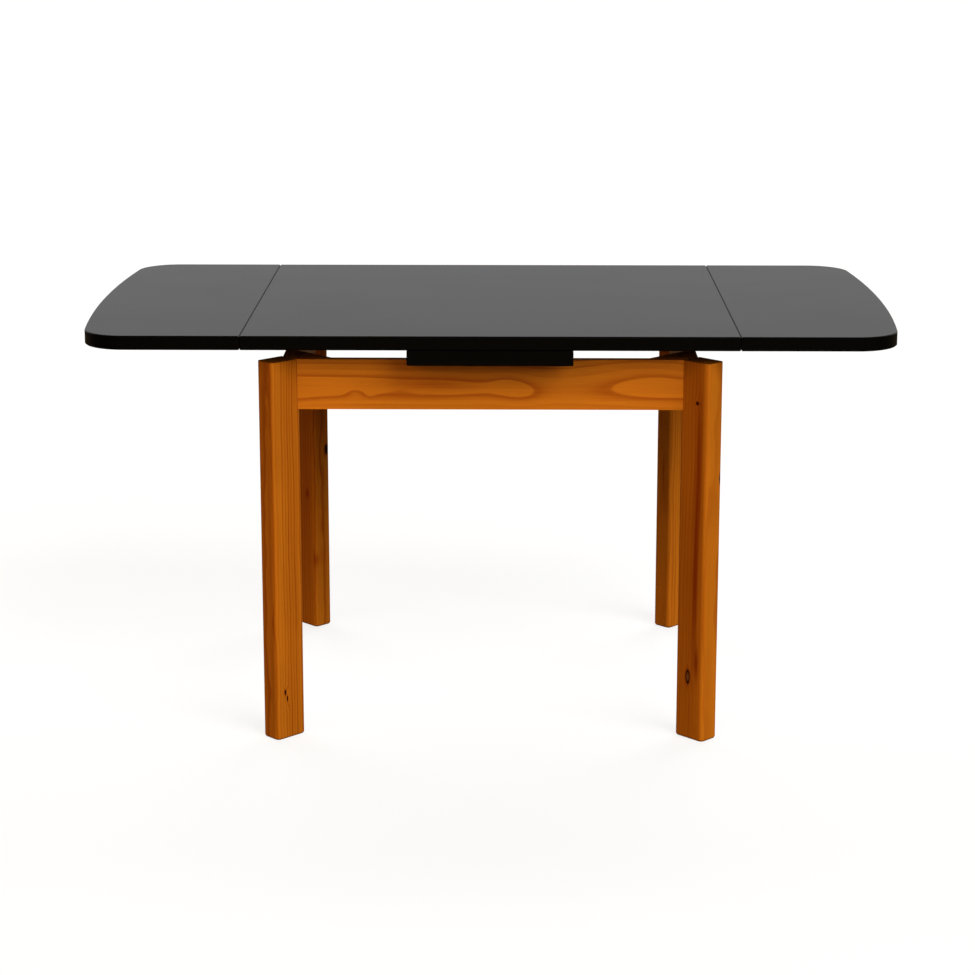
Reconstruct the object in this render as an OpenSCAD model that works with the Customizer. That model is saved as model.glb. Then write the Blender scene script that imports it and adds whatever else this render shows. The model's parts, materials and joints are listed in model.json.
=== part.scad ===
// Draw-leaf dining table, standing drawn out to its full length.
// A square-ended main top lies loose on a fixed centre board. One leaf at each
// end runs on two sloping bars, so that it climbs level with the main top as it
// is drawn out. Four legs stand at 45 degrees across the corners of the frame.
// Origin: middle of the footprint, on the floor. X runs along the table.

/* [Top] */
// Length of the main top
top_length = 900; // [840:5:1100]
// Width of the main top, the leaves and the centre board
top_width = 820; // [700:5:900]
// Thickness of the main top
top_thickness = 26; // [20:1:32]
// Length of a leaf at its middle
leaf_length = 306; // [301:1:330]
// Thickness of a leaf
leaf_thickness = 26; // [20:1:32]
// How far the outer end of a leaf bows out at its middle
leaf_bow = 25; // [6:1:40]
// Corner radius of a leaf
leaf_corner_r = 80; // [30:1:120]
// Seam between the main top and a drawn-out leaf
seam_gap = 1; // [0.5:0.5:3]
// Chamfer along the edges of the top, the leaves and the centre board
edge_ease = 1.5; // [0.5:0.25:3]

/* [Centre board] */
// Length of the centre board along the table
board_length = 300; // [260:5:320]
// Clearance over a stowed leaf, below the main top
leaf_over = 1; // [0.5:0.5:3]
// Clearance under a stowed leaf, above the frame
leaf_under = 1; // [0.5:0.5:3]
// Diameter of the pegs that keep the main top in place
peg_d = 16; // [10:1:24]
// How far the main top lifts on its pegs, over the thickness of a leaf
lift_spare = 3; // [1:1:8]
// Length of peg still in the centre board when the main top is lifted
peg_hold = 16; // [10:1:20]
// How far a peg is let into the main top
peg_seat = 12; // [8:1:16]
// Distance of each peg from the middle of the board
peg_y = 250; // [180:5:300]

/* [Frame] */
// Height of the frame and its legs
frame_height = 718; // [650:1:800]
// Height of the aprons and end rails
apron_height = 93; // [80:1:110]
// Thickness of the aprons and end rails
apron_thickness = 18; // [16:1:24]
// Face of an apron, in from the long edge of the main top
apron_inset = 60; // [57:1:66]
// Face of an end rail, in from the end of the main top
rail_inset = 70; // [67:1:74]

/* [Legs] */
// Width of a leg across its outward face
leg_width = 44; // [40:1:52]
// Depth of a leg along the diagonal
leg_depth = 68; // [66:1:74]
// Middle of the outward face, in from the end of the main top
leg_inset_x = 40; // [36:1:43]
// Middle of the outward face, in from the long edge of the main top
leg_inset_y = 33; // [29:1:36]
// Radius of a leg's long arrises
leg_arris_r = 9; // [3:0.5:12]
// Chamfer round the foot of a leg
foot_ease = 3; // [1:0.5:6]
// Depth of the rebate where a leg seats on the corner of the frame
seat_rebate = 8; // [5:0.5:10]
// How far the rounded shoulder of the rebate runs below the apron
seat_shoulder = 10; // [6:1:14]

/* [Corner blocks] */
// Leg length of a corner block's right angle
block_leg = 71; // [62:1:80]
// Flat across the outer corner of a corner block
block_tip = 8; // [5:1:12]
// Height of a corner block
block_height = 75; // [68:1:80]
// Diameter of a hanger bolt
bolt_d = 8; // [6:1:10]
// Length of a hanger bolt
bolt_length = 106; // [100:1:112]
// How far a hanger bolt reaches into its leg
bolt_in_leg = 38; // [30:1:44]
// Upper bolt, below the top of the frame
bolt_upper = 18; // [16:1:24]
// Lower bolt, below the top of the frame
bolt_lower = 57; // [50:1:60]
// Across-flats size of a hexagon nut
nut_size = 13; // [11:1:16]
// Height of a hexagon nut
nut_height = 6.5; // [4:0.5:8]
// Diameter of a washer
washer_d = 22; // [18:1:26]
// Thickness of a washer
washer_t = 1.6; // [1:0.2:2.4]

/* [Bars] */
// Travel of a leaf along the table
leaf_travel = 300; // [280:1:300]
// Width of a bar
bar_width = 26; // [20:1:30]
// Upright height of a bar
bar_height = 27; // [22:1:27]
// Reach of a bar under its leaf, out from the seam
bar_out = 220; // [180:5:240]
// Reach of a bar inside the frame, in from the seam
bar_in = 345; // [335:5:360]
// Distance of the inner pair of bars from the middle line
bar_inner_y = 64; // [58:1:66]
// Distance of the outer pair of bars from the middle line
bar_outer_y = 104; // [102:1:115]
// Depth of a bar's notch in the face of the end rail
notch_depth = 8; // [6:1:10]
// Clearance between a bar and its notch
bar_clear = 0.3; // [0.2:0.05:0.5]
// How far a leaf can be overdrawn before its stops touch the rail
overdraw = 12; // [6:1:20]
// Length of a stop block
stop_length = 22; // [14:1:30]
// Height of a stop block at its outer end
stop_height = 15.5; // [10:0.5:18]
// Length of the guide cleats under the centre board
cleat_length = 280; // [200:5:290]
// Height of the guide cleats
cleat_height = 25; // [18:1:30]
// Width of the inner and outer guide cleats
cleat_width = 18; // [12:1:24]
// Clearance between a bar and the cleat beside it
cleat_clear = 0.5; // [0.3:0.1:1]

/* [Screws] */
// Shank diameter of the screws
screw_d = 4; // [3:0.5:5]
// Head diameter of the screws
screw_head_d = 8; // [6.5:0.5:9]
// Head height of the screws
screw_head_h = 3; // [2:0.5:4]
// Length of a screw's point
screw_point = 4; // [2:0.5:5]
// Length of the screws that hold the centre board down
board_screw_length = 44; // [36:1:56]
// Distance of those screws from the middle of the board
board_screw_x = 110; // [90:5:120]
// Length of the screws that hold the corner blocks
block_screw_length = 23; // [19:1:25]
// Length of the screws that hold the guide cleats
cleat_screw_length = 44; // [36:1:48]
// Distance of those screws from the middle of a cleat
cleat_screw_x = 95; // [60:5:100]
// How far the bar screws reach into a leaf
bar_screw_bite = 16; // [10:1:18]
// Distances of the bar screws from the seam
bar_screw_near = 50; // [35:1:80]
bar_screw_far = 185; // [150:5:200]
// Length of the screws that hold the stop blocks
stop_screw_length = 30; // [24:1:36]

/* [Hidden] */
$fn = 48;
// Radial clearance of a peg in the centre board, and of a glued or screwed piece
run_clear = 0.1;
fix_clear = 0.05;
// Radial clearance of a bolt in its corner block
bolt_clear = 0.5;
// Thickness of a glue line between two wooden faces
glue_line = 0.02;
// Cuts run this far past the faces that they open
past = 1;
// The shoulder's arc would pass the face of the leg by this much
arc_over = 0.2;
// Segments in each rounded corner of a section
arc_steps = 8;
// Wood left under a screw head in a corner block, and over one under a leaf
block_under_head = 9;
bar_over_head = 7;
// Depth of the counterbore over a board screw
board_counterbore = 7;
// Screws of a corner block: from the end of its leg, and below the frame top
block_screw_end = 14;
block_screw_z = [15, 60];

half_length = top_length / 2;
half_width = top_width / 2;
board_thickness = leaf_thickness + leaf_over + leaf_under;
top_z = frame_height + board_thickness;
leaf_z = top_z + top_thickness - leaf_thickness;
leaf_x = half_length + seam_gap;
peg_reach = leaf_thickness + lift_spare + peg_hold;

// Slope of the bars: a leaf climbs its own thickness and its clearance
slope = (leaf_z - frame_height - leaf_under) / leaf_travel;

// Corner of the frame, measured in from the corner of the main top
inner_x = rail_inset + apron_thickness;
inner_y = apron_inset + apron_thickness;
seat_depth = leg_depth - seat_rebate;
seat_sum = leg_inset_x + leg_inset_y + (seat_depth + glue_line) * sqrt(2);
mitre_x = (seat_sum + rail_inset - apron_inset) / 2;
mitre_y = (seat_sum - rail_inset + apron_inset) / 2;
// Distance from the seat to the frame's inner corner along the diagonal
seat_to_corner = (inner_x + inner_y - seat_sum) / sqrt(2);
block_depth = block_leg / sqrt(2);

rail_x = half_length - rail_inset;
rail_inner_x = rail_x - apron_thickness;
inner_pair = [-bar_inner_y, bar_inner_y];
outer_pair = [-bar_outer_y, bar_outer_y];
corners = [[-1, -1], [1, -1], [-1, 1], [1, 1]];

pine = "#a5550f";
pine_dark = "#8f470b";
black = "#141414";
beech = "#c79a63";
steel = "#a8a8a8";

// ---- Placing ----

// Children are drawn for one corner, with x and y measured in from the corner
// of the main top, and z up from the floor.
module at_corner(c) {
    translate([c[0] * half_length, c[1] * half_width, 0])
        mirror([c[0] > 0 ? 1 : 0, 0, 0])
            mirror([0, c[1] > 0 ? 1 : 0, 0])
                children();
}

// Children are drawn along the corner's diagonal: x runs inward from the
// frame's inner corner.
module on_diagonal() {
    translate([inner_x, inner_y, 0])
        rotate([0, 0, 45])
            children();
}

// Children are drawn for the right-hand end.
module at_end(side) {
    mirror([side < 0 ? 1 : 0, 0, 0])
        children();
}

// ---- Shapes ----

// Box with a chamfer round its upper and lower edges, centred on z.
module eased_box(size, ease) {
    profile = function (w, h) [
        [-w / 2, ease], [-w / 2 + ease, 0], [w / 2 - ease, 0], [w / 2, ease],
        [w / 2, h - ease], [w / 2 - ease, h], [-w / 2 + ease, h], [-w / 2, h - ease]
    ];
    intersection() {
        rotate([90, 0, 0])
            linear_extrude(height = size[1], center = true)
                polygon(profile(size[0], size[2]));
        rotate([90, 0, 90])
            linear_extrude(height = size[0], center = true)
                polygon(profile(size[1], size[2]));
    }
}

// Points of an arc about c, from angle a to angle b.
function arc(c, r, a, b, steps) = [
    for (i = [0 : steps])
        let (t = a + (b - a) * i / steps)
            c + r * [cos(t), sin(t)]
];

// Rectangle from x = 0 to x = l, as wide as w about y = 0, with round corners.
function rounded_section(l, w, r, inset) =
    let (k = max(r - inset, 0.5), x0 = inset + k, x1 = l - x0, y = w / 2 - x0)
        concat(
            arc([x1, y], k, 0, 90, arc_steps),
            arc([x0, y], k, 90, 180, arc_steps),
            arc([x0, -y], k, 180, 270, arc_steps),
            arc([x1, -y], k, 270, 360, arc_steps)
        );

// Outline of a leaf: straight at the seam, bowed at its end, round corners.
function leaf_points(inset) =
    let (
        bow_r = (half_width * half_width + leaf_bow * leaf_bow) / (2 * leaf_bow),
        bow_x = leaf_length - bow_r,
        side = half_width - leaf_corner_r,
        corner_x = bow_x + sqrt(pow(bow_r - leaf_corner_r, 2) - side * side),
        turn = atan2(side, corner_x - bow_x),
        r = leaf_corner_r - inset
    )
        concat(
            [[inset, -half_width + inset]],
            arc([corner_x, -side], r, -90, -turn, 2 * arc_steps),
            arc([bow_x, 0], bow_r - inset, -turn + 1, turn - 1, arc_steps),
            arc([corner_x, side], r, turn, 90, 2 * arc_steps),
            [[inset, half_width - inset]]
        );

// Screw that points up from its seat at z = 0, head below.
module screw(length) {
    shank = length - screw_point;
    translate([0, 0, -screw_head_h])
        cylinder(d = screw_head_d, h = screw_head_h);
    cylinder(d = screw_d, h = shank);
    translate([0, 0, shank])
        cylinder(d1 = screw_d, d2 = screw_d / 4, h = screw_point);
}

// Hole for such a screw, with a counterbore of the given depth below its seat.
module screw_hole(length, counterbore) {
    cylinder(d = screw_d + 2 * fix_clear, h = length + fix_clear);
    if (counterbore > 0)
        translate([0, 0, -counterbore])
            cylinder(d = screw_head_d + 1, h = counterbore);
}

// ---- Legs ----

// The cut that seats a leg on the corner of the frame. Its shoulder is rounded.
module leg_rebate() {
    z0 = frame_height - apron_height - seat_shoulder;
    d = seat_rebate + arc_over;
    r = (d * d + seat_shoulder * seat_shoulder) / (2 * d);
    difference() {
        translate([seat_depth, -leg_width, z0])
            cube([seat_rebate + past, 2 * leg_width, frame_height - z0 + past]);
        translate([seat_depth + d - r, 0, z0])
            rotate([90, 0, 0])
                cylinder(r = r, h = 3 * leg_width, center = true);
    }
}

module leg_blank() {
    hull() {
        linear_extrude(height = foot_ease / 3)
            polygon(rounded_section(leg_depth, leg_width, leg_arris_r, foot_ease * 0.7));
        translate([0, 0, foot_ease])
            linear_extrude(height = frame_height - foot_ease)
                polygon(rounded_section(leg_depth, leg_width, leg_arris_r, 0));
    }
}

module leg(c) {
    color(pine)
        at_corner(c)
            difference() {
                translate([leg_inset_x, leg_inset_y, 0])
                    rotate([0, 0, 45])
                        difference() {
                            leg_blank();
                            leg_rebate();
                        }
                on_diagonal()
                    bolt_bores(bolt_d + 2 * fix_clear, -seat_to_corner - bolt_in_leg, past);
            }
}

// ---- Frame ----

// The two bolt holes of one corner, from x0 to x1 along the diagonal.
module bolt_bores(d, x0, x1) {
    for (drop = [bolt_upper, bolt_lower])
        translate([x0, 0, frame_height - drop])
            rotate([0, 90, 0])
                cylinder(d = d, h = x1 - x0);
}

// Screws of one corner block. Each child points up its z axis, into the apron.
module at_block_screws() {
    reach = block_leg - block_screw_end;
    for (drop = block_screw_z) {
        translate([inner_x + reach, inner_y + block_under_head, frame_height - drop])
            rotate([90, 0, 0])
                children();
        translate([inner_x + block_under_head, inner_y + reach, frame_height - drop])
            rotate([0, -90, 0])
                children();
    }
}

module board_screw_places() {
    for (c = corners)
        translate([
            c[0] * board_screw_x,
            c[1] * (half_width - apron_inset - apron_thickness / 2),
            top_z - board_counterbore
        ])
            rotate([180, 0, 0])
                children();
}

// Holes that the corner fixings need in an apron or an end rail.
module frame_holes(side_corners) {
    for (c = side_corners)
        at_corner(c) {
            on_diagonal()
                bolt_bores(bolt_d + 2 * bolt_clear, -seat_to_corner - past, bolt_d);
            at_block_screws()
                screw_hole(block_screw_length, 0);
        }
}

module apron(side) {
    outer = half_width - apron_inset;
    x_face = half_length - seat_sum + apron_inset;
    x_mitre = half_length - mitre_x;
    color(pine)
        difference() {
            translate([0, 0, frame_height - apron_height])
                linear_extrude(height = apron_height)
                    polygon([
                        [-x_face, side * outer],
                        [x_face, side * outer],
                        [x_mitre, side * (half_width - mitre_y)],
                        [half_length - inner_x, side * (half_width - inner_y)],
                        [inner_x - half_length, side * (half_width - inner_y)],
                        [-x_mitre, side * (half_width - mitre_y)]
                    ]);
            frame_holes([for (c = corners) if (c[1] == side) c]);
            board_screw_places()
                screw_hole(board_screw_length, 0);
        }
}

// Height of a bar's lower edge where the bar lies at the distance x.
function bar_low(x) = frame_height - notch_depth + bar_clear + (x - rail_x) * slope;

// Notch for one bar, sloped like the bar.
module bar_notch(y) {
    x0 = rail_inner_x - past;
    x1 = rail_x + past;
    translate([0, y, 0])
        rotate([90, 0, 0])
            linear_extrude(height = bar_width + 2 * bar_clear, center = true)
                polygon([
                    [x0, bar_low(x0) - bar_clear],
                    [x1, bar_low(x1) - bar_clear],
                    [x1, frame_height + past],
                    [x0, frame_height + past]
                ]);
}

module end_rail(side, pair) {
    y_face = half_width - seat_sum + rail_inset;
    y_mitre = half_width - mitre_y;
    color(pine_dark)
        difference() {
            at_end(side)
                difference() {
                    translate([0, 0, frame_height - apron_height])
                        linear_extrude(height = apron_height)
                            polygon([
                                [rail_x, -y_face],
                                [rail_x, y_face],
                                [half_length - mitre_x, y_mitre],
                                [rail_inner_x, half_width - inner_y],
                                [rail_inner_x, inner_y - half_width],
                                [half_length - mitre_x, -y_mitre]
                            ]);
                    for (y = pair)
                        bar_notch(y);
                }
            frame_holes([for (c = corners) if (c[0] == side) c]);
        }
}

module corner_block(c) {
    color(pine_dark)
        at_corner(c)
            difference() {
                translate([inner_x, inner_y, frame_height - block_height])
                    linear_extrude(height = block_height)
                        polygon([
                            [block_tip, 0],
                            [block_leg, 0],
                            [0, block_leg],
                            [0, block_tip]
                        ]);
                on_diagonal()
                    bolt_bores(bolt_d + 2 * bolt_clear, 0, block_depth + past);
                at_block_screws()
                    screw_hole(block_screw_length, block_leg);
            }
}

module corner_bolts() {
    color(steel)
        for (c = corners)
            at_corner(c)
                on_diagonal()
                    bolt_bores(
                        bolt_d,
                        -seat_to_corner - bolt_in_leg,
                        bolt_length - seat_to_corner - bolt_in_leg
                    );
}

module corner_washers() {
    color(steel)
        for (c = corners)
            at_corner(c)
                on_diagonal()
                    difference() {
                        bolt_bores(washer_d, block_depth, block_depth + washer_t);
                        bolt_bores(bolt_d + bolt_clear, 0, block_depth + washer_t + past);
                    }
}

module corner_nuts() {
    x0 = block_depth + washer_t;
    color(steel)
        for (c = corners)
            at_corner(c)
                on_diagonal()
                    difference() {
                        for (drop = [bolt_upper, bolt_lower])
                            translate([x0, 0, frame_height - drop])
                                rotate([0, 90, 0])
                                    cylinder(d = nut_size / cos(30), h = nut_height, $fn = 6);
                        bolt_bores(bolt_d + 2 * fix_clear, 0, x0 + nut_height + past);
                    }
}

module block_screws() {
    color(steel)
        for (c = corners)
            at_corner(c)
                at_block_screws()
                    screw(block_screw_length);
}

// ---- Centre board and guides ----

module centre_board() {
    color(black)
        difference() {
            translate([0, 0, frame_height])
                eased_box([board_length, top_width, board_thickness], edge_ease);
            for (side = [-1, 1])
                translate([0, side * peg_y, frame_height - past])
                    cylinder(d = peg_d + 2 * run_clear, h = board_thickness + 2 * past);
            board_screw_places()
                screw_hole(board_screw_length, board_counterbore + past);
            all_cleat_screws()
                screw_hole(cleat_screw_length, 0);
        }
}

module board_screws() {
    color(steel)
        board_screw_places()
            screw(board_screw_length);
}

// Middle and width of the three cleats on one side: inner, middle, outer.
inner_cleat_y = bar_inner_y - bar_width / 2 - cleat_clear - cleat_width / 2;
outer_cleat_y = bar_outer_y + bar_width / 2 + cleat_clear + cleat_width / 2;
middle_cleat_y = (bar_inner_y + bar_outer_y) / 2;
middle_cleat_width = bar_outer_y - bar_inner_y - bar_width - 2 * cleat_clear;

module cleat_screw_places(y) {
    for (x = [-cleat_screw_x, cleat_screw_x])
        translate([x, y, frame_height - cleat_height])
            children();
}

module all_cleat_screws() {
    for (side = [-1, 1])
        for (y = [inner_cleat_y, middle_cleat_y, outer_cleat_y])
            cleat_screw_places(side * y)
                children();
}

module cleat(y, width) {
    color(beech)
        difference() {
            translate([-cleat_length / 2, y - width / 2, frame_height - cleat_height])
                cube([cleat_length, width, cleat_height]);
            cleat_screw_places(y)
                screw_hole(cleat_screw_length, 0);
        }
}

module cleat_screws() {
    color(steel)
        all_cleat_screws()
            screw(cleat_screw_length);
}

// ---- Main top ----

module main_top() {
    color(black)
        difference() {
            translate([0, 0, top_z])
                eased_box([top_length, top_width, top_thickness], edge_ease);
            for (side = [-1, 1])
                translate([0, side * peg_y, top_z - past])
                    cylinder(d = peg_d + 2 * fix_clear, h = peg_seat + past);
        }
}

module peg(side) {
    tip = 2;
    color(beech)
        translate([0, side * peg_y, top_z - peg_reach]) {
            cylinder(d1 = peg_d - 2 * tip, d2 = peg_d, h = tip);
            translate([0, 0, tip])
                cylinder(d = peg_d, h = peg_reach + peg_seat - tip);
        }
}

// ---- Leaves ----

// Screws of the bars, pointing up into the leaf.
module bar_screw_places(pair) {
    for (y = pair)
        for (x = [bar_screw_near, bar_screw_far])
            translate([leaf_x + x, y, leaf_z - bar_over_head])
                children();
}

module leaf(side, pair) {
    color(black)
        at_end(side)
            difference() {
                translate([leaf_x, 0, leaf_z])
                    hull() {
                        linear_extrude(height = leaf_thickness)
                            polygon(leaf_points(edge_ease));
                        translate([0, 0, edge_ease])
                            linear_extrude(height = leaf_thickness - 2 * edge_ease)
                                polygon(leaf_points(0));
                    }
                bar_screw_places(pair)
                    screw_hole(bar_over_head + bar_screw_bite, 0);
            }
}

// Side view of a bar: the sloping bar, and the wedge that carries the leaf.
bar_x0 = leaf_x - bar_in;
bar_x1 = leaf_x + bar_out;
wedge_x = rail_x + (leaf_z - bar_low(rail_x) - bar_height) / slope;

module bar(side, y) {
    color(beech)
        at_end(side)
            difference() {
                translate([0, y, 0])
                    rotate([90, 0, 0])
                        linear_extrude(height = bar_width, center = true)
                            polygon([
                                [bar_x0, bar_low(bar_x0)],
                                [bar_x1, bar_low(bar_x1)],
                                [bar_x1, leaf_z],
                                [wedge_x, leaf_z],
                                [bar_x0, bar_low(bar_x0) + bar_height]
                            ]);
                bar_screw_places([y])
                    screw_hole(bar_over_head + bar_screw_bite, leaf_thickness);
                stop_screw_places([y])
                    screw_hole(stop_screw_length, 0);
            }
}

module bar_screws(side, pair) {
    color(steel)
        at_end(side)
            bar_screw_places(pair)
                screw(bar_over_head + bar_screw_bite);
}

// Stop block under a bar. It meets the inner face of the rail when overdrawn.
stop_x1 = rail_inner_x - overdraw;
stop_x0 = stop_x1 - stop_length;
stop_z = bar_low(stop_x1) - stop_height;

module stop_screw_places(pair) {
    for (y = pair)
        translate([(stop_x0 + stop_x1) / 2, y, stop_z])
            children();
}

module stop_block(side, y) {
    color(beech)
        at_end(side)
            difference() {
                translate([0, y, 0])
                    rotate([90, 0, 0])
                        linear_extrude(height = bar_width, center = true)
                            polygon([
                                [stop_x0, stop_z],
                                [stop_x1, stop_z],
                                [stop_x1, bar_low(stop_x1) - glue_line],
                                [stop_x0, bar_low(stop_x0) - glue_line]
                            ]);
                stop_screw_places([y])
                    screw_hole(stop_screw_length, 0);
            }
}

module stop_screws(side, pair) {
    color(steel)
        at_end(side)
            stop_screw_places(pair)
                screw(stop_screw_length);
}

// ---- Nodes ----

leg([-1, -1]);  // leg_front_left
leg([1, -1]);  // leg_front_right
leg([-1, 1]);  // leg_rear_left
leg([1, 1]);  // leg_rear_right
apron(-1);  // apron_front
apron(1);  // apron_rear
end_rail(-1, outer_pair);  // end_rail_left
end_rail(1, inner_pair);  // end_rail_right
corner_block([-1, -1]);  // corner_block_front_left
corner_block([1, -1]);  // corner_block_front_right
corner_block([-1, 1]);  // corner_block_rear_left
corner_block([1, 1]);  // corner_block_rear_right
corner_bolts();
corner_washers();
corner_nuts();
block_screws();
centre_board();
board_screws();
cleat(-inner_cleat_y, cleat_width);  // cleat_inner_front
cleat(inner_cleat_y, cleat_width);  // cleat_inner_rear
cleat(-middle_cleat_y, middle_cleat_width);  // cleat_middle_front
cleat(middle_cleat_y, middle_cleat_width);  // cleat_middle_rear
cleat(-outer_cleat_y, cleat_width);  // cleat_outer_front
cleat(outer_cleat_y, cleat_width);  // cleat_outer_rear
cleat_screws();
main_top();
peg(-1);  // peg_front
peg(1);  // peg_rear
leaf(-1, outer_pair);  // leaf_left
bar(-1, -bar_outer_y);  // bar_left_front
bar(-1, bar_outer_y);  // bar_left_rear
stop_block(-1, -bar_outer_y);  // stop_left_front
stop_block(-1, bar_outer_y);  // stop_left_rear
bar_screws(-1, outer_pair);  // bar_screws_left
stop_screws(-1, outer_pair);  // stop_screws_left
leaf(1, inner_pair);  // leaf_right
bar(1, -bar_inner_y);  // bar_right_front
bar(1, bar_inner_y);  // bar_right_rear
stop_block(1, -bar_inner_y);  // stop_right_front
stop_block(1, bar_inner_y);  // stop_right_rear
bar_screws(1, inner_pair);  // bar_screws_right
stop_screws(1, inner_pair);  // stop_screws_right
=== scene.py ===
"""Looks for the draw-leaf table: eased edges, stained pine, black lacquer, light and camera.

Everything is in metres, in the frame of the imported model.
"""

import json
import math

import bmesh
import bpy
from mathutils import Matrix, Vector


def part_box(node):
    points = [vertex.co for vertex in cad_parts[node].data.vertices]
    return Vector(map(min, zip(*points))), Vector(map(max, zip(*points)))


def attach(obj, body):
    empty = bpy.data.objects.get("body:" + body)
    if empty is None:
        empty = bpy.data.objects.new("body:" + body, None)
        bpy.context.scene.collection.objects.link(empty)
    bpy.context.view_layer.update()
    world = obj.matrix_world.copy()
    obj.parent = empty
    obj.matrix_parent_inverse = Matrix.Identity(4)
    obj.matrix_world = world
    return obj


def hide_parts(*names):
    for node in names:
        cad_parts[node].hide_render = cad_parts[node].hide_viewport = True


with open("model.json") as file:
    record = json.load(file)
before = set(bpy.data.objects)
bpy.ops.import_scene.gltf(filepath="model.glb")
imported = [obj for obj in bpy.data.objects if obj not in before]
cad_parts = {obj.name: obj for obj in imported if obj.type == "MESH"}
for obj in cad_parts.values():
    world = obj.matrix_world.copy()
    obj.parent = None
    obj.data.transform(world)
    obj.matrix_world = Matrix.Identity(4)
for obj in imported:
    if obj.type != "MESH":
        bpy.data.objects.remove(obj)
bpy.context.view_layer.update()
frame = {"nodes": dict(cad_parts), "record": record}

# ---- Sizes ----

WOOD_EASE = 0.0008  # rounding of sawn and planed arrises
TOP_EASE = 0.0006  # rounding of the chamfers on the lacquered boards
ROUGH_EASE = 0.0004  # rounding of the hidden wooden pieces
EASE_SEGMENTS = 3
MERGE_DISTANCE = 2e-6
FLAT_ANGLE = math.radians(0.5)  # faces that turn less than this become one
SHARP_ANGLE = math.radians(28)

X, Y, Z = Vector((1, 0, 0)), Vector((0, 1, 0)), Vector((0, 0, 1))

CORNERS = {
    "front_left": Vector((-1, -1, 0)),
    "front_right": Vector((1, -1, 0)),
    "rear_left": Vector((-1, 1, 0)),
    "rear_right": Vector((1, 1, 0)),
}

# ---- Colours (linear) ----

PINE_EARLY = (0.480, 0.140, 0.0065)
PINE_LATE = (0.235, 0.034, 0.0004)
KNOT_RIM = (0.030, 0.005, 0.0010)
KNOT_HEART = (0.185, 0.066, 0.0200)
LACQUER = (0.0006, 0.0005, 0.0004)
LACQUER_DUST = (0.008, 0.008, 0.008)
BEECH_LIGHT = (0.520, 0.270, 0.115)
BEECH_DARK = (0.330, 0.145, 0.055)
ZINC = (0.600, 0.600, 0.590)
ZINC_DULL = (0.470, 0.460, 0.420)

# ---- Pine ----

RING = 0.0082  # width of one year ring
HEART_SIZE = 0.012  # knots larger than this show their heart
KNOT_REACH = 2.6  # how far the rings bend round a knot, in sizes of the knot
KNOT_LIFT = 0.9 * RING
END_GRAIN_STAIN_AND_PAINTED_SHADE = 0.45  # end grain takes more stain; this darkening is also painted shade on the leg tops under the tabletop and on the foot chamfers
END_GRAIN_START, END_GRAIN_FULL = 0.35, 0.85  # cosine between the grain and the normal
FAINTEST_YEAR = 0.25  # strength of the faintest year ring

# Phase within one year ring, counted outward, and how dark the wood is there.
YEAR_RING = [(0.0, 0.55), (0.03, 0.95), (0.13, 1.0), (0.30, 0.50), (0.55, 0.12), (0.97, 0.0), (1.0, 0.55)]

# Cells per metre of each noise in the wood, along the grain and across it.
RIPPLE_CELLS = (9.0, 26.0)
STREAK_CELLS = (3.5, 150.0)
LINE_CELLS = (7.0, 620.0)
FIBRE_CELLS = (45.0, 1300.0)
BLOTCH_CELLS = (5.0, 14.0)
PITH_CELLS = (2.3, 1.7)  # the wander of the pith, across the board and through it
DEEP_SEED, BLOTCH_SEED = 40, 7  # added to a board's seed, so that its noises differ
NOISE_STRETCH = 1.3  # noise seldom comes near its ends, so it is stretched this much

# What makes the wood dark, as shares of the way from earlywood to latewood.
DARKNESS_BASE = -0.33
RING_SHARE = 0.62
STREAK_SHARE = 0.45
LINE_SHARE = 0.34

# How far the brightness varies from patch to patch and from fibre to fibre.
BLOTCH_RANGE = 0.30
FIBRE_RANGE = 0.16

# ---- Light ----

WARM = (1.0, 0.66, 0.25)
SOFT_WARM = (1.0, 0.80, 0.50)
WHITE = (1.0, 1.0, 1.0)
LAMP_DISTANCE = 6.0

FLOOR_REACH = 60.0
FLOOR_SEEN = (0.90, 0.90, 0.90)
FLOOR_WHITE = 1.02
FLOOR_TINT = (0.985, 0.992, 1.0)  # makes up for the warm fill
FLOOR_GLOW = 0.75  # share of the plain white in what the camera sees of the floor
FLOOR_BOUNCE = (0.090, 0.065, 0.036)

WORLD_AMBIENT = (0.088, 0.063, 0.034)
WORLD_SHEEN = 0.97  # what gloss mirrors from behind the table
WORLD_DIM = 0.06  # what gloss mirrors from in front of it
WALL_START, WALL_END = -0.1, 0.5  # y of the directions between which one turns into the other

# ---- Camera ----

# Fitted to measured edges of the photograph, together with the main sizes of the part.
CAMERA_PLACE = (0.0342, -4.7439, 1.5904)
CAMERA_TILT = math.radians(12.18)
CAMERA_YAW = math.radians(0.69)
CAMERA_SHIFT = (0.0078, -0.0892)
CAMERA_CLIP = 200.0
FOCAL_LENGTH = 90.87  # millimetres, as the sensor's width
SENSOR_WIDTH = 36.0


# ---- Node graphs ----


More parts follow.
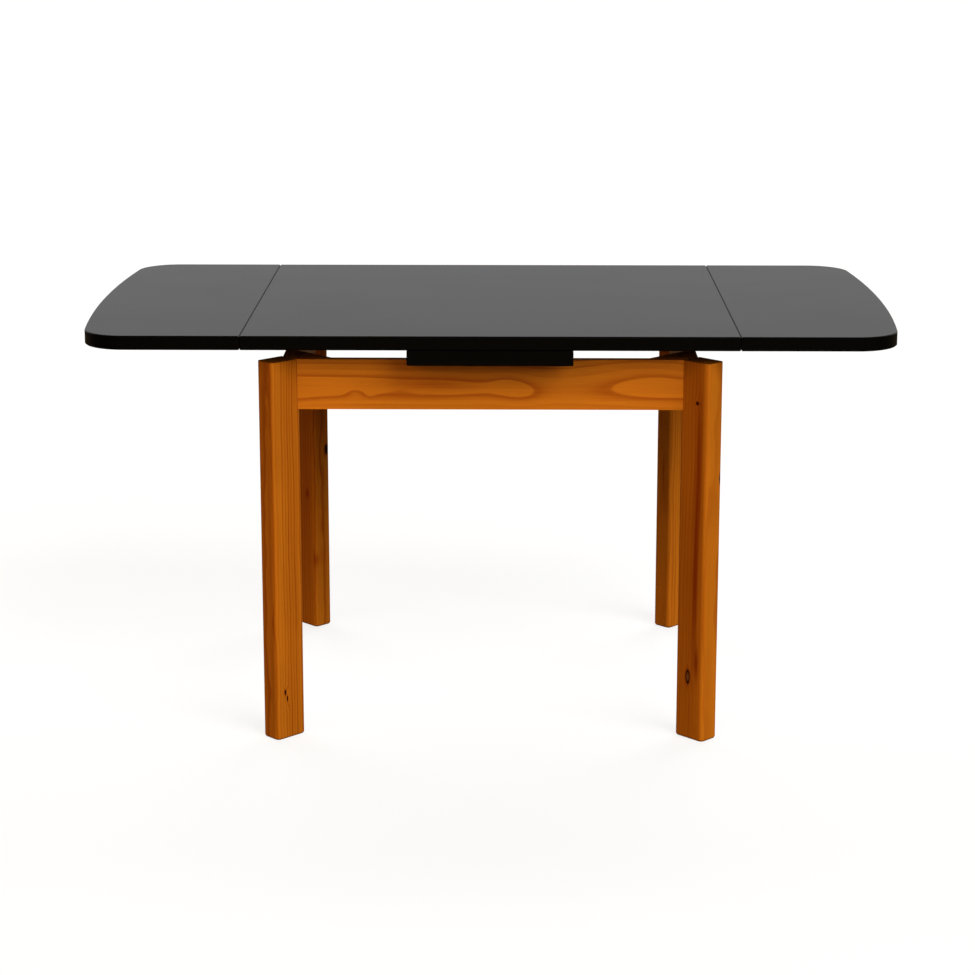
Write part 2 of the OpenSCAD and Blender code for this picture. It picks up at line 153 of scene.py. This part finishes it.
class Graph:
    """The nodes of a material or of the world, built with short calls."""

    def __init__(self, tree):
        self.tree = tree

    def feed(self, socket, value):
        """Links an output to a socket, or sets the socket's own value."""
        if isinstance(value, bpy.types.NodeSocket):
            self.tree.links.new(value, socket)
        else:
            socket.default_value = value

    def node(self, kind, inputs=None, **settings):
        made = self.tree.nodes.new(kind)
        for key, value in settings.items():
            setattr(made, key, value)
        for key, value in (inputs or {}).items():
            self.feed(made.inputs[key], value)
        return made

    def math(self, operation, *values, clamp=False):
        inputs = dict(enumerate(values))
        return self.node("ShaderNodeMath", inputs, operation=operation, use_clamp=clamp).outputs[0]

    def vector(self, operation, *values):
        made = self.node("ShaderNodeVectorMath", dict(enumerate(values)), operation=operation)
        return made.outputs["Value" if operation in ("DOT_PRODUCT", "LENGTH") else "Vector"]

    def combine(self, x, y, z):
        return self.node("ShaderNodeCombineXYZ", {0: x, 1: y, 2: z}).outputs[0]

    def place(self):
        return self.node("ShaderNodeTexCoord").outputs["Object"]

    def noise(self, vector, detail=2.0, roughness=0.5):
        """Noise of unit scale, from 0 to 1."""
        inputs = {"Vector": vector, "Scale": 1.0, "Detail": detail, "Roughness": roughness}
        return self.node("ShaderNodeTexNoise", inputs).outputs["Fac"]

    def cells(self, per_metre, detail):
        """Noise with so many cells per metre along x, y and z."""
        return self.noise(self.vector("MULTIPLY", self.place(), per_metre), detail)

    def drift(self, along, frequency, seed, reach):
        """A slow wander along one axis, nearly always within reach."""
        w = self.math("MULTIPLY_ADD", along, frequency, seed)
        inputs = {"W": w, "Scale": 1.0, "Detail": 1.0}
        noise = self.node("ShaderNodeTexNoise", inputs, noise_dimensions="1D").outputs["Fac"]
        return self.math("MULTIPLY_ADD", noise, 2 * NOISE_STRETCH * reach, -NOISE_STRETCH * reach)

    def ramp(self, factor, stops):
        made = self.node("ShaderNodeValToRGB", {"Fac": factor})
        points = made.color_ramp.elements
        while len(points) < len(stops):
            points.new(0.5)
        for point, (place, value) in zip(points, stops):
            point.position = place
            point.color = (value, value, value, 1.0)
        return made.outputs["Color"]

    def smooth(self, value, start, end, low=0.0, high=1.0):
        inputs = {"Value": value, "From Min": start, "From Max": end, "To Min": low, "To Max": high}
        return self.node("ShaderNodeMapRange", inputs, interpolation_type="SMOOTHSTEP").outputs["Result"]

    def mix(self, factor, first, second, blend="MIX"):
        made = self.node("ShaderNodeMix", data_type="RGBA", blend_type=blend, clamp_result=False)
        self.feed(made.inputs["Factor"], factor)
        for socket, value in ((made.inputs[6], first), (made.inputs[7], second)):
            self.feed(socket, (*value, 1.0) if isinstance(value, tuple) else value)
        return made.outputs[2]

    def bump(self, height, strength, distance):
        inputs = {"Height": height, "Strength": strength, "Distance": distance}
        return self.node("ShaderNodeBump", inputs).outputs["Normal"]

    def light(self, kind, colour, strength=None):
        """A diffuse, emission or background shader of one colour."""
        inputs = {"Color": (*colour, 1.0)}
        if strength is not None:
            inputs["Strength"] = strength
        return self.node(kind, inputs).outputs[0]

    def for_rays(self, kind, first, second):
        """The second shader for rays of one kind, and the first for all others."""
        rays = self.node("ShaderNodeLightPath").outputs[kind]
        return self.node("ShaderNodeMixShader", {0: rays, 1: first, 2: second}).outputs[0]


class Finish(Graph):
    """The graph of one material round a Principled shader."""

    def __init__(self, name):
        self.material = bpy.data.materials.new(name)
        self.material.use_nodes = True
        super().__init__(self.material.node_tree)

    def done(self, **sockets):
        shader = self.tree.nodes["Principled BSDF"]
        for key, value in sockets.items():
            self.feed(shader.inputs[key.replace("_", " ")], value)
        return self.material


# ---- Wood ----


def board_axes(graph, grain, across, origin):
    """Distances from origin along the grain, across it and through the board."""
    local = graph.vector("SUBTRACT", graph.place(), origin)
    deep = grain.cross(across)
    return [graph.vector("DOT_PRODUCT", local, axis) for axis in (grain, across, deep)]


def ellipsoid(graph, axes, centre, size):
    """Distance from a centre, as a multiple of an ellipsoid's half sizes."""
    parts = [
        graph.math("MULTIPLY", graph.math("SUBTRACT", axis, c), 1 / s)
        for axis, c, s in zip(axes, centre, size)
    ]
    return graph.vector("LENGTH", graph.combine(*parts))


def bell(graph, axes, centre, size, height):
    """height at the centre, falling smoothly to nothing by about twice the size."""
    distance = ellipsoid(graph, axes, centre, size)
    fall = graph.math("EXPONENT", graph.math("MULTIPLY", graph.math("POWER", distance, 2.0), -1.0))
    return graph.math("MULTIPLY", fall, height)


def total(graph, values):
    result = values[0]
    for value in values[1:]:
        result = graph.math("ADD", result, value)
    return result


def pith_distance(graph, axes, pith, seed, wander, lean):
    """Distance from a pith that wanders and leans along the grain."""
    along, side, deep = axes
    to_side = graph.math("SUBTRACT", side, graph.drift(along, PITH_CELLS[0], seed, wander))
    to_side = graph.math("SUBTRACT", to_side, graph.math("MULTIPLY_ADD", along, lean, pith[0]))
    to_deep = graph.math("SUBTRACT", deep, graph.drift(along, PITH_CELLS[1], seed + DEEP_SEED, wander))
    to_deep = graph.math("SUBTRACT", to_deep, pith[1])
    return graph.vector("LENGTH", graph.combine(to_side, to_deep, 0.0))


def stretched_noise(graph, axes, cells, seed=0.0, detail=2.0, roughness=0.5):
    """Noise drawn out along the grain, with so many cells per metre along and across."""
    along, side, deep = axes
    cell = graph.combine(
        graph.math("MULTIPLY_ADD", along, cells[0], seed),
        graph.math("MULTIPLY", side, cells[1]),
        graph.math("MULTIPLY", deep, cells[1]),
    )
    return graph.noise(cell, detail, roughness)


def latewood(graph, turn, seed, contrast):
    """How dark the year rings make the wood, with a strength of its own for each year."""
    phase = graph.math("FRACT", turn)
    number = graph.math("ADD", graph.math("FLOOR", turn), seed)
    year = graph.node("ShaderNodeTexWhiteNoise", {"W": number}, noise_dimensions="1D").outputs["Value"]
    strength = graph.math("MULTIPLY_ADD", year, (1 - FAINTEST_YEAR) * contrast, FAINTEST_YEAR * contrast)
    return graph.math("MULTIPLY", graph.ramp(phase, YEAR_RING), strength)


def pine_darkness(graph, axes, seed, late, streak, stains):
    """From 0, earlywood, to 1, latewood."""
    line = stretched_noise(graph, axes, LINE_CELLS, seed, 2.0, 0.6)
    darkness = graph.math("MULTIPLY_ADD", late, RING_SHARE, DARKNESS_BASE)
    darkness = graph.math("MULTIPLY_ADD", streak, STREAK_SHARE, darkness)
    darkness = graph.math("MULTIPLY_ADD", line, LINE_SHARE, darkness)
    for centre, size, strength in stains:
        darkness = graph.math("ADD", darkness, bell(graph, axes, centre, size, strength))
    return graph.math("MAXIMUM", darkness, 0.0, clamp=True)


def end_grain_stain_and_painted_shade(graph, grain):
    """Darker where the surface cuts across the grain: partly the extra stain that end grain takes, partly
    painted shade on the leg tops under the tabletop and on the foot chamfers.
    """
    normal = graph.node("ShaderNodeTexCoord").outputs["Normal"]
    across_grain = graph.math("ABSOLUTE", graph.vector("DOT_PRODUCT", normal, grain))
    return graph.smooth(across_grain, END_GRAIN_START, END_GRAIN_FULL, 1.0, END_GRAIN_STAIN_AND_PAINTED_SHADE)


def pine_brightness(graph, axes, grain, seed, fibre, tone):
    blotch = stretched_noise(graph, axes, BLOTCH_CELLS, seed + BLOTCH_SEED)
    patches = graph.math("MULTIPLY_ADD", blotch, BLOTCH_RANGE * tone, (1 - BLOTCH_RANGE / 2) * tone)
    fibres = graph.math("MULTIPLY_ADD", fibre, FIBRE_RANGE, 1 - FIBRE_RANGE / 2)
    # the end-grain factor is partly stain and partly painted shade on the leg tops and foot chamfers
    shade = graph.math("MULTIPLY", graph.math("MULTIPLY", patches, fibres), end_grain_stain_and_painted_shade(graph, grain))
    return graph.combine(shade, shade, shade)


def draw_knots(graph, axes, colour, streak, knots):
    """Lays each knot over the colour: a halo, a ragged rim and, in large ones, a heart.

    The reach of each is given in half sizes of the knot.
    """
    ragged = graph.math("MULTIPLY_ADD", streak, 0.5, -0.25)
    for centre, size in knots:
        reach = graph.math("ADD", ellipsoid(graph, axes, centre, size), ragged)
        colour = graph.mix(graph.smooth(reach, 1.9, 0.9, 0.0, 0.55), colour, PINE_LATE)
        colour = graph.mix(graph.smooth(reach, 1.06, 0.90), colour, KNOT_RIM)
        if max(size) > HEART_SIZE:
            colour = graph.mix(graph.smooth(reach, 0.66, 0.40), colour, KNOT_HEART)
    return colour


def pine(
    name, grain, across, origin, pith, seed, ring=RING, wander=0.005, ripple=0.0036,
    start=0.0, lean=0.0, rise=0.0, contrast=1.0, swells=(), knots=(), stains=(), tone=1.0,
):
    """Stained and lacquered pine.

    The year rings are cylinders about a pith, so that every face of a board is cut
    from one piece of wood. pith is the distance from origin across the grain and
    through the board. The pith wanders and leans along the grain, start and rise
    shift the rings, and swells lists (centre, size, height) bulges in them. knots
    lists (centre, size) and stains lists (centre, size, strength) dark patches.
    """
    graph = Finish(name)
    axes = board_axes(graph, grain, across, origin)
    wave = stretched_noise(graph, axes, RIPPLE_CELLS, seed, 1.5)
    lifts = [
        pith_distance(graph, axes, pith, seed, wander, lean),
        graph.math("MULTIPLY_ADD", axes[1], rise, start),
        graph.math("MULTIPLY_ADD", wave, 2 * ripple, -ripple),
    ]
    for centre, size, height in swells:
        lifts.append(bell(graph, axes, centre, size, height))
    for centre, size in knots:
        lifts.append(bell(graph, axes, centre, [KNOT_REACH * s for s in size], KNOT_LIFT))
    turn = graph.math("MULTIPLY", total(graph, lifts), 1 / ring)
    late = latewood(graph, turn, seed, contrast)

    streak = stretched_noise(graph, axes, STREAK_CELLS, seed, 3.0, 0.6)
    fibre = stretched_noise(graph, axes, FIBRE_CELLS, 0.0, 1.0)
    darkness = pine_darkness(graph, axes, seed, late, streak, stains)
    colour = graph.mix(darkness, PINE_EARLY, PINE_LATE)
    brightness = pine_brightness(graph, axes, grain, seed, fibre, tone)
    colour = graph.mix(1.0, colour, brightness, "MULTIPLY")
    return graph.done(
        Base_Color=draw_knots(graph, axes, colour, streak, knots),
        Roughness=graph.math("MULTIPLY_ADD", streak, 0.12, 0.26),
        Normal=graph.bump(graph.math("MULTIPLY_ADD", late, 0.5, fibre), 0.22, 0.0004),
        Specular_IOR_Level=0.10,
    )


def beech(name, grain, across):
    """Bare beech: even, with the short dark flecks of its rays."""
    graph = Finish(name)
    axes = board_axes(graph, grain, across, Vector((0, 0, 0)))
    bands = stretched_noise(graph, axes, (3.0, 90.0), detail=3.0)
    dots = stretched_noise(graph, axes, (260.0, 1500.0), detail=0.0)
    colour = graph.mix(graph.smooth(bands, 0.35, 0.70, 0.0, 0.55), BEECH_LIGHT, BEECH_DARK)
    return graph.done(
        Base_Color=graph.mix(graph.smooth(dots, 0.62, 0.72, 0.0, 0.5), colour, BEECH_DARK),
        Roughness=graph.math("MULTIPLY_ADD", bands, 0.14, 0.55),
        Normal=graph.bump(dots, 0.25, 0.0003),
        Specular_IOR_Level=0.35,
    )


# ---- Paint and metal ----


def lacquer(name):
    """Satin black paint: nearly no relief, and a soft gloss that grows at low angles."""
    graph = Finish(name)
    orange_peel = graph.cells((420, 420, 420), 2.0)
    cloud = graph.cells((5, 7, 5), 3.0)
    speck = graph.smooth(graph.cells((1500, 1500, 1500), 0.0), 0.74, 0.80, 0.0, 0.5)
    return graph.done(
        Base_Color=graph.mix(speck, LACQUER, LACQUER_DUST),
        Roughness=graph.math("MULTIPLY_ADD", cloud, 0.02, 0.325),
        Normal=graph.bump(orange_peel, 0.06, 0.0002),
        Specular_IOR_Level=0.065,
    )


def zinc(name):
    """Zinc-plated steel with the fine lines of drawing and turning."""
    graph = Finish(name)
    lines = graph.cells((900, 900, 2600), 1.0)
    cloud = graph.cells((160, 160, 160), 3.0)
    return graph.done(
        Base_Color=graph.mix(graph.smooth(cloud, 0.3, 0.7), ZINC, ZINC_DULL),
        Roughness=graph.math("MULTIPLY_ADD", cloud, 0.20, 0.26),
        Normal=graph.bump(lines, 0.12, 0.0002),
        Metallic=1.0,
    )


# ---- Pieces ----


def body_of(node):
    for body, members in frame["record"]["behaviour"]["bodies"].items():
        if node in members:
            return body
    raise KeyError(node)


def clean_mesh(node):
    """The node's faces as whole polygons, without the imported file's shading."""
    mesh = frame["nodes"][node].data.copy()
    mesh.name = node + "_eased"
    shape = bmesh.new()
    shape.from_mesh(mesh)
    bmesh.ops.remove_doubles(shape, verts=shape.verts, dist=MERGE_DISTANCE)
    bmesh.ops.dissolve_limit(shape, angle_limit=FLAT_ANGLE, verts=shape.verts, edges=shape.edges)
    for face in shape.faces:
        face.smooth = True
    shape.to_mesh(mesh)
    shape.free()
    for layer in ("custom_normal", "sharp_face"):
        if layer in mesh.attributes:
            mesh.attributes.remove(mesh.attributes[layer])
    mesh.set_sharp_from_angle(angle=SHARP_ANGLE)
    return mesh


def dress(node, material, ease):
    """Replaces a CAD node with the same piece with rounded arrises."""
    mesh = clean_mesh(node)
    mesh.materials.clear()
    mesh.materials.append(material)
    piece = bpy.data.objects.new(node + "_eased", mesh)
    bpy.context.scene.collection.objects.link(piece)
    bevel = piece.modifiers.new("arrises", "BEVEL")
    bevel.width = ease
    bevel.segments = EASE_SEGMENTS
    bevel.limit_method = "ANGLE"
    bevel.angle_limit = SHARP_ANGLE
    bevel.harden_normals = True
    bevel.use_clamp_overlap = True
    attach(piece, body_of(node))
    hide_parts(node)


def paint(node, material):
    """Gives a CAD node that stays its material."""
    for place in frame["nodes"][node].material_slots:
        place.material = material


def middle(node):
    low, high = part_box(node)
    return (low + high) / 2


# ---- Wood of each frame piece ----

# The numbers of the front apron's figure weren't chosen by hand: FIGURE_HEIGHT, FRONT_FIGURE and, in
# make_aprons, the depth of the pith, start, lean and rise. A least-squares fit to lines traced on the
# photograph made them, and they were rounded.

# Height of the middle of the figure above the lower edge of the front apron.
FIGURE_HEIGHT = 0.0443

# Bulges that draw the figure of the front apron: centre, size and height of each.
FRONT_FIGURE = [
    ((-0.372, -0.029, 0), (0.073, 0.017, 0.03), -0.0034),  # lower line, left end
    ((-0.247, -0.015, 0), (0.016, 0.009, 0.03), 0.0035),  # hump in the lower line
    ((-0.219, -0.018, 0), (0.010, 0.008, 0.03), -0.0011),  # hollow beside the hump
    ((-0.163, -0.004, 0), (0.085, 0.014, 0.03), 0.0030),  # dark wood between the lines
    ((0.034, 0.015, 0), (0.036, 0.024, 0.03), -0.0035),  # upper side of the eye
    ((0.057, -0.016, 0), (0.038, 0.027, 0.03), -0.0036),  # lower side of the eye
    ((0.211, 0.006, 0), (0.201, 0.042, 0.03), 0.0118),  # saddle between the eye and the arch
    ((0.277, 0.031, 0), (0.116, 0.054, 0.03), -0.0129),  # arch at the right
]
FRONT_STAINS = [((-0.108, 0.0025, 0), (0.088, 0.0095, 0.03), 0.55)]  # between the lines, left of the middle

# The wood of each leg. Places are height, distance inward along the leg's diagonal, and across it.
# Left and right are as seen from the front. Most places were picked on the photograph, carried onto
# the leg by a scratch script with the fitted camera, and some of them then moved by eye.
LEG_WOOD = {
    "front_left": dict(
        pith=(-0.085, -0.010), seed=2.0, ring=0.0066, contrast=1.1, tone=0.96,
        knots=[
            ((0.0904, -0.0147, -0.022), (0.0055, 0.0022, 0.006)),  # right face, near the foot
            ((0.0776, -0.0101, -0.022), (0.0060, 0.0016, 0.006)),  # right face, below the first
        ],
        stains=[
            ((0.400, -0.034, -0.009), (0.170, 0.015, 0.006), 0.28),  # left face by the arris, upper part
            ((0.150, -0.034, -0.010), (0.110, 0.015, 0.007), 0.22),  # left face by the arris, lower part
            ((0.514, -0.034, 0.014), (0.012, 0.010, 0.004), 0.45),  # spot at the left edge
            ((0.360, 0.012, -0.022), (0.600, 0.020, 0.010), 0.16),  # half of the right face by the apron
        ],
    ),
    "front_right": dict(
        pith=(0.095, 0.020), seed=13.0, ring=0.0080, contrast=0.7, tone=0.96,
        knots=[
            ((0.1205, 0.0030, 0.022), (0.0145, 0.0055, 0.012)),  # large, left face, near the foot
            ((0.6428, -0.0087, 0.022), (0.0035, 0.0040, 0.006)),  # small, left face, beside the apron
            ((0.501, -0.034, -0.018), (0.010, 0.010, 0.0045)),  # at the right edge
        ],
        stains=[
            ((0.520, -0.0150, 0.022), (0.160, 0.0070, 0.008), 0.75),  # streak on the left face, upper part
            ((0.300, -0.0110, 0.022), (0.150, 0.0062, 0.008), 0.75),  # streak on the left face, lower part
            ((0.150, -0.0175, 0.022), (0.030, 0.0050, 0.008), 0.70),  # patch above the large knot
            ((0.500, 0.0050, 0.022), (0.400, 0.0250, 0.008), 0.22),  # left face as a whole
        ],
    ),
    "rear_left": dict(
        pith=(0.080, -0.015), seed=31.0, ring=0.0080, contrast=1.1, tone=1.00,
        knots=[((0.387, 0.036, 0.013), (0.011, 0.010, 0.006))],  # at the right edge
        stains=[
            ((0.292, 0.0108, -0.022), (0.010, 0.0050, 0.010), 0.55),  # spot on the left face
            ((0.149, 0.0330, -0.020), (0.014, 0.0060, 0.008), 0.65),  # spot on the arris
            ((0.158, 0.0340, -0.002), (0.022, 0.0100, 0.005), 0.35),  # right face, lower spot
            ((0.222, 0.0340, -0.004), (0.018, 0.0100, 0.005), 0.35),  # right face, upper spot
            ((0.300, 0.0050, -0.022), (0.320, 0.0200, 0.015), 0.42),  # left face as a whole
        ],
    ),
    "rear_right": dict(
        pith=(-0.090, 0.010), seed=44.0, ring=0.0080, contrast=1.1, tone=1.09,
        stains=[((0.345, 0.034, 0.0006), (0.040, 0.010, 0.0025), 0.55)],  # short streak on the left face
    ),
}


def make_aprons():
    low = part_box("apron_front")[0]
    front = pine(
        "pine_apron_front", X, Z, Vector((0, low.y, low.z + FIGURE_HEIGHT)), (0.0, 0.035), 3.0,
        wander=0.0, ripple=0.0006, start=-0.039, lean=-0.009, rise=0.10,
        contrast=1.1, swells=FRONT_FIGURE, stains=FRONT_STAINS, tone=1.16,
    )
    rear = pine("pine_apron_rear", X, Z, middle("apron_rear"), (0.012, 0.062), 21.0)
    dress("apron_front", front, WOOD_EASE)
    dress("apron_rear", rear, WOOD_EASE)


def make_end_rails():
    for side, seed in (("left", 5.5), ("right", 9.1)):
        node = "end_rail_" + side
        wood = pine("pine_" + node, Y, Z, middle(node), (-0.018, 0.055), seed, tone=0.97)
        dress(node, wood, WOOD_EASE)


def make_legs():
    for corner, outward in CORNERS.items():
        node = "leg_" + corner
        centre = middle(node)
        axis = Vector((centre.x, centre.y, 0))
        wood = pine("pine_" + node, Z, -outward.normalized(), axis, wander=0.004, **LEG_WOOD[corner])
        dress(node, wood, WOOD_EASE)


def make_corner_blocks():
    for number, (corner, outward) in enumerate(CORNERS.items()):
        node = "corner_block_" + corner
        along = Vector((-outward.y, outward.x, 0)).normalized()
        wood = pine("pine_" + node, along, Z, middle(node), (0.03, 0.04), 60.0 + 5 * number, tone=0.92)
        dress(node, wood, ROUGH_EASE)


# ---- Other pieces ----


def make_boards():
    paint_black = lacquer("black_lacquer_satin")
    for node in ("main_top", "centre_board", "leaf_left", "leaf_right"):
        dress(node, paint_black, TOP_EASE)


def make_runners():
    lengthwise = beech("beech_lengthwise", X, Z)
    upright = beech("beech_upright", Z, X)
    for side in ("left", "right"):
        for end in ("front", "rear"):
            dress(f"bar_{side}_{end}", lengthwise, ROUGH_EASE)
            dress(f"stop_{side}_{end}", lengthwise, ROUGH_EASE)
    for row in ("inner", "middle", "outer"):
        for end in ("front", "rear"):
            dress(f"cleat_{row}_{end}", lengthwise, ROUGH_EASE)
    for end in ("front", "rear"):
        paint("peg_" + end, upright)


def make_fixings():
    steel = zinc("zinc_steel_drawn")
    for node in frame["nodes"]:
        if node.startswith(("corner_bolts", "corner_washers", "corner_nuts")) or "screws" in node:
            paint(node, steel)


# ---- Stage ----


def make_floor():
    corners = [(-FLOOR_REACH, -FLOOR_REACH, 0), (FLOOR_REACH, -FLOOR_REACH, 0)]
    corners += [(FLOOR_REACH, FLOOR_REACH, 0), (-FLOOR_REACH, FLOOR_REACH, 0)]
    mesh = bpy.data.meshes.new("floor")
    mesh.from_pydata(corners, [], [(0, 1, 2, 3)])
    mesh.materials.append(floor_material())
    floor = bpy.data.objects.new("floor", mesh)
    bpy.context.scene.collection.objects.link(floor)


def floor_material():
    """Nearly white with the table's shadow where the camera sees it, and a dim warm bounce."""
    material = bpy.data.materials.new("floor_pale")
    material.use_nodes = True
    material.node_tree.nodes.clear()
    graph = Graph(material.node_tree)
    bounce = graph.light("ShaderNodeBsdfDiffuse", FLOOR_BOUNCE)
    seen = graph.light("ShaderNodeBsdfDiffuse", FLOOR_SEEN)
    white = graph.light("ShaderNodeEmission", FLOOR_TINT, FLOOR_WHITE)
    pale = graph.node("ShaderNodeMixShader", {0: FLOOR_GLOW, 1: seen, 2: white}).outputs[0]
    shown = graph.for_rays("Is Camera Ray", bounce, pale)
    graph.node("ShaderNodeOutputMaterial", {"Surface": shown})
    return material


def make_world():
    """White where the camera sees it, with a warm ambient and a pale wall behind for the gloss."""
    world = bpy.data.worlds.new("studio")
    bpy.context.scene.world = world
    world.use_nodes = True
    world.node_tree.nodes.clear()
    graph = Graph(world.node_tree)
    direction = graph.node("ShaderNodeTexCoord").outputs["Generated"]
    backward = graph.node("ShaderNodeSeparateXYZ", {0: direction}).outputs["Y"]
    wall = graph.smooth(backward, WALL_START, WALL_END, WORLD_DIM, WORLD_SHEEN)
    ambient = graph.light("ShaderNodeBackground", WORLD_AMBIENT)
    mirrored = graph.light("ShaderNodeBackground", WHITE, wall)
    shown = graph.for_rays("Is Glossy Ray", ambient, mirrored)
    shown = graph.for_rays("Is Camera Ray", shown, graph.light("ShaderNodeBackground", WHITE))
    graph.node("ShaderNodeOutputWorld", {"Surface": shown})


def make_lamp(name, azimuth, elevation, strength, spread, colour=WHITE):
    """A soft lamp far away. Azimuth 0 is in front of the table, and 90 to its right."""
    data = bpy.data.lights.new(name, "SUN")
    data.energy = strength
    data.color = colour
    data.angle = math.radians(spread)
    lamp = bpy.data.objects.new(name, data)
    bpy.context.scene.collection.objects.link(lamp)
    a, e = math.radians(azimuth), math.radians(elevation)
    towards = Vector((math.sin(a) * math.cos(e), -math.cos(a) * math.cos(e), math.sin(e)))
    lamp.rotation_mode = "QUATERNION"
    lamp.rotation_quaternion = towards.to_track_quat("Z", "Y")
    lamp.location = towards * LAMP_DISTANCE
    return lamp


def make_lights():
    make_lamp("key_right", 40, 33, 2.96, 46)
    make_lamp("fill_left", -40, 34, 1.06, 44, WARM)
    make_lamp("front_low", 0, 9, 0.38, 24, SOFT_WARM)
    for name, azimuth, strength in (("back_right", 152, 1.9), ("back_left", -152, 1.5)):
        back = make_lamp(name, azimuth, 32, strength, 40)
        back.visible_glossy = False  # gloss mirrors only the pale wall behind the table


def make_camera():
    data = bpy.data.cameras.new("camera")
    data.sensor_width = SENSOR_WIDTH
    data.lens = FOCAL_LENGTH
    data.shift_x, data.shift_y = CAMERA_SHIFT
    data.clip_end = CAMERA_CLIP
    camera = bpy.data.objects.new("camera", data)
    bpy.context.scene.collection.objects.link(camera)
    camera.location = CAMERA_PLACE
    camera.rotation_euler = (math.pi / 2 - CAMERA_TILT, 0.0, CAMERA_YAW)
    bpy.context.scene.camera = camera


make_camera()
make_aprons()
make_end_rails()
make_legs()
make_corner_blocks()
make_boards()
make_runners()
make_fixings()
make_floor()
make_world()
make_lights()
bpy.context.scene.view_settings.view_transform = "Standard"
